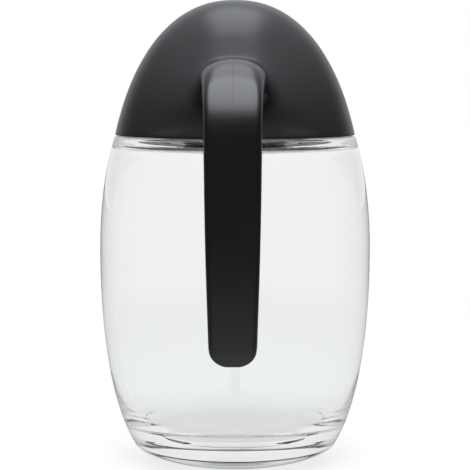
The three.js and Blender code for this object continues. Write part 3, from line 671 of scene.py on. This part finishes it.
def pad_outline(inset):
    """The pad's outline, narrow at the foot where it clears the gutter's walls."""
    upright = mouth / 7.6
    foot, step, top = 1.5 * upright + inset, 2.6 * upright + inset, mouth - inset
    narrow, wide = 4.7 - inset, 6.2 - inset
    return [(-narrow, foot), (narrow, foot), (narrow, step), (wide, step),
            (wide, top), (-wide, top), (-wide, step), (-narrow, step)]


seat = worked(prism(pad_outline(0.3), 1.8, mouth_depth, at_mouth),
              ("INTERSECT", dome_solid(skin, dome_edge)))
knuckle = worked(rod_solid(knuckle_radius, knuckle_span, pin_y, pin_z),
                 ("INTERSECT", dome_solid(0, dome_edge)))
spout_flap = worked(dome_solid(0, dome_edge),
                    ("DIFFERENCE", dome_solid(dome_wall, 110)),
                    ("INTERSECT", tongue(0)),
                    ("UNION", knuckle),
                    ("UNION", box_solid(cradle_low, cradle_high)),
                    ("UNION", seat),
                    ("DIFFERENCE", rod_solid(pin_hole, knuckle_span + 3, pin_y, pin_z, 32)),
                    ("DIFFERENCE", rod_solid(slug_room_radius, slug_room, pin_y, pin_z - slug_drop, 48)))
spout_flap.name = "spout_flap_moulding"
dressed(spout_flap, charcoal)
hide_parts("spout_flap")
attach(spout_flap, "flap")

steel = bpy.data.materials.new("turned steel")
steel.use_nodes = True
nodes, links = steel.node_tree.nodes, steel.node_tree.links
shader = nodes["Principled BSDF"]
shader.inputs["Base Color"].default_value = (0.62, 0.63, 0.65, 1)
shader.inputs["Metallic"].default_value = 1
place, along = nodes.new("ShaderNodeTexCoord"), nodes.new("ShaderNodeMapping")
along.inputs["Scale"].default_value = (9000, 300, 300)
tool_marks, marks_bump = nodes.new("ShaderNodeTexNoise"), nodes.new("ShaderNodeBump")
tool_marks.inputs["Scale"].default_value = 1
tool_roughness = nodes.new("ShaderNodeMapRange")
set_range(tool_roughness, 0, 1, 0.2, 0.4)
marks_bump.inputs["Distance"].default_value = 0.004 * mm
links.new(place.outputs["Object"], along.inputs["Vector"])
links.new(along.outputs["Vector"], tool_marks.inputs["Vector"])
links.new(tool_marks.outputs["Fac"], tool_roughness.inputs["Value"])
links.new(tool_marks.outputs["Fac"], marks_bump.inputs["Height"])
links.new(tool_roughness.outputs[0], shader.inputs["Roughness"])
links.new(marks_bump.outputs["Normal"], shader.inputs["Normal"])


def turned_rod(name, radius, length, y, z):
    """A turned steel rod along X with broken edges."""
    half, broken = length / 2, 0.2
    bm = bmesh.new()
    spun(bm, [(0, -half), (radius - broken, -half), (radius, broken - half), (radius, half - broken),
              (radius - broken, half), (0, half)], 48, closed=False)
    bmesh.ops.rotate(bm, verts=bm.verts, matrix=Matrix.Rotation(math.pi / 2, 3, "Y"))
    bmesh.ops.translate(bm, verts=bm.verts, vec=(0, y * mm, z * mm))
    return finished(bm, name, steel)


hinge_pin = turned_rod("hinge_pin_steel", pin_radius, pin_length, pin_y, pin_z)
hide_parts("hinge_pin")
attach(hinge_pin, "cap")
flap_weight = turned_rod("flap_weight_steel", slug_radius, slug_length, pin_y, pin_z - slug_drop)
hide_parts("flap_weight")
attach(flap_weight, "flap")
flap_pad = finished_copy("flap_pad", "flap_pad_silicone", silicone, moulding_edge)
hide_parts("flap_pad")
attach(flap_pad, "flap")


# Studio
# A white table runs back into a white surround. The side that the camera stands on is dark. One soft panel
# hangs just in front of the handle and one over the dome, and a small one stands low before the handle's tip.

lamp_colour = (0.93, 0.96, 1)
camera_distance, camera_height = 0.664, 0.1404
camera_turn, camera_dip = math.radians(0.5), 5.33
bounces = 128


def ranged(material, value, low, high, at_low, at_high):
    made = material.node_tree.nodes.new("ShaderNodeMapRange")
    made.interpolation_type = "SMOOTHSTEP"
    material.node_tree.links.new(value, made.inputs["Value"])
    set_range(made, low, high, at_low, at_high)
    return made.outputs[0]


def plugged(material, socket, value):
    """Gives a socket a number, or links it to another socket."""
    if isinstance(value, (int, float)):
        socket.default_value = value
    else:
        material.node_tree.links.new(value, socket)


def combined(material, operation, *values):
    made = material.node_tree.nodes.new("ShaderNodeMath")
    made.operation = operation
    for socket, value in zip(made.inputs, values):
        plugged(material, socket, value)
    return made.outputs[0]


def chosen(material, mask, when_off, when_on):
    made = material.node_tree.nodes.new("ShaderNodeMix")
    made.data_type = "FLOAT"
    material.node_tree.links.new(mask, made.inputs[0])
    plugged(material, made.inputs[2], when_off)
    plugged(material, made.inputs[3], when_on)
    return made.outputs[0]


table = bpy.data.materials.new("white table")
table.use_nodes = True
nodes, links = table.node_tree.nodes, table.node_tree.links
shader = nodes["Principled BSDF"]
shader.inputs["Roughness"].default_value = 1
shader.inputs["Specular IOR Level"].default_value = 0
place, split = nodes.new("ShaderNodeTexCoord"), nodes.new("ShaderNodeSeparateXYZ")
links.new(place.outputs["Object"], split.inputs[0])
far_off = nodes.new("ShaderNodeVectorMath")
far_off.operation = "LENGTH"
links.new(place.outputs["Object"], far_off.inputs[0])
tone = combined(table, "MULTIPLY", ranged(table, split.outputs["Y"], -0.4, -0.12, 0.02, 0.5),
                ranged(table, far_off.outputs["Value"], 0.3, 0.6, 1, 0))
links.new(tone, shader.inputs["Base Color"])
path = nodes.new("ShaderNodeLightPath")
white = combined(table, "SUBTRACT", 1.02, combined(table, "MULTIPLY", tone, 0.6))
clear = combined(table, "SUBTRACT", 0.93, combined(table, "MULTIPLY", tone, 0.7))
glow = combined(table, "ADD", combined(table, "MULTIPLY", white, path.outputs["Is Camera Ray"]),
                combined(table, "MULTIPLY", clear, path.outputs["Is Transmission Ray"]))
shader.inputs["Emission Color"].default_value = (1, 1, 1, 1)
links.new(glow, shader.inputs["Emission Strength"])
bm = bmesh.new()
bmesh.ops.create_grid(bm, x_segments=1, y_segments=1, size=3, matrix=Matrix.Translation((0, 0, -0.0002)))
floor = finished(bm, "floor", table)

world = bpy.data.worlds.new("studio")
bpy.context.scene.world = world
world.use_nodes = True
nodes, links = world.node_tree.nodes, world.node_tree.links
nodes.clear()
direction, split = nodes.new("ShaderNodeTexCoord"), nodes.new("ShaderNodeSeparateXYZ")
links.new(direction.outputs["Generated"], split.inputs[0])
upward = ranged(world, split.outputs["Z"], 0.1, 0.9, 0, 0.58)
beside = ranged(world, split.outputs["Y"], -0.9, 0.1, 0.01, 0.11)
behind = ranged(world, split.outputs["Y"], 0.65, 0.98, 0, 0.65)
room = combined(world, "ADD", upward, combined(world, "ADD", beside, behind))
through_glass = ranged(world, split.outputs["Y"], -0.5, 0.4, 0.8, 0.88)
path = nodes.new("ShaderNodeLightPath")
background = nodes.new("ShaderNodeBackground")
tint = nodes.new("ShaderNodeMix")
tint.data_type = "RGBA"
tint.inputs[6].default_value = (*lamp_colour, 1)
tint.inputs[7].default_value = (1, 1, 1, 1)
links.new(combined(world, "MAXIMUM", path.outputs["Is Camera Ray"], path.outputs["Is Transmission Ray"]),
          tint.inputs[0])
links.new(tint.outputs[2], background.inputs["Color"])
unseen = chosen(world, path.outputs["Is Transmission Ray"], room, through_glass)
links.new(chosen(world, path.outputs["Is Camera Ray"], unseen, 1), background.inputs["Strength"])
out = nodes.new("ShaderNodeOutputWorld")
links.new(background.outputs[0], out.inputs["Surface"])


def soft_light(name, place, aim, size, power):
    """A soft panel at a place in metres, turned to face its aim."""
    data = bpy.data.lights.new(name, "AREA")
    data.shape = "RECTANGLE"
    data.size, data.size_y = size
    data.energy = power
    data.color = lamp_colour
    lamp = bpy.data.objects.new(name, data)
    lamp.location = place
    lamp.visible_transmission = False
    lamp.rotation_euler = (Vector(aim) - Vector(place)).to_track_quat("-Z", "Y").to_euler()
    bpy.context.scene.collection.objects.link(lamp)


soft_light("front panel", (0, -0.19, 0.215), (0, -0.19, 0), (0.1, 0.235), 0.2186)
soft_light("low panel", (0, -0.22, 0.02), (0, -0.08, 0.02), (0.12, 0.04), 0.0065)
soft_light("top panel", (0, 0.06, 0.42), (0, 0.06, 0), (0.2, 0.28), 0.27)

camera = bpy.data.objects.new("camera", bpy.data.cameras.new("camera"))
camera.location = (camera_distance * math.sin(camera_turn), -camera_distance * math.cos(camera_turn),
                   camera_height)
camera.rotation_euler = (math.radians(90 - camera_dip), 0, camera_turn)
camera.data.lens = 146.2
camera.data.sensor_width = 36
camera.data.clip_start = 0.01
bpy.context.scene.collection.objects.link(camera)
bpy.context.scene.camera = camera
bpy.context.scene.view_settings.view_transform = "Standard"
cycles = bpy.context.scene.cycles
cycles.max_bounces = bounces
cycles.transmission_bounces = bounces
cycles.glossy_bounces = bounces
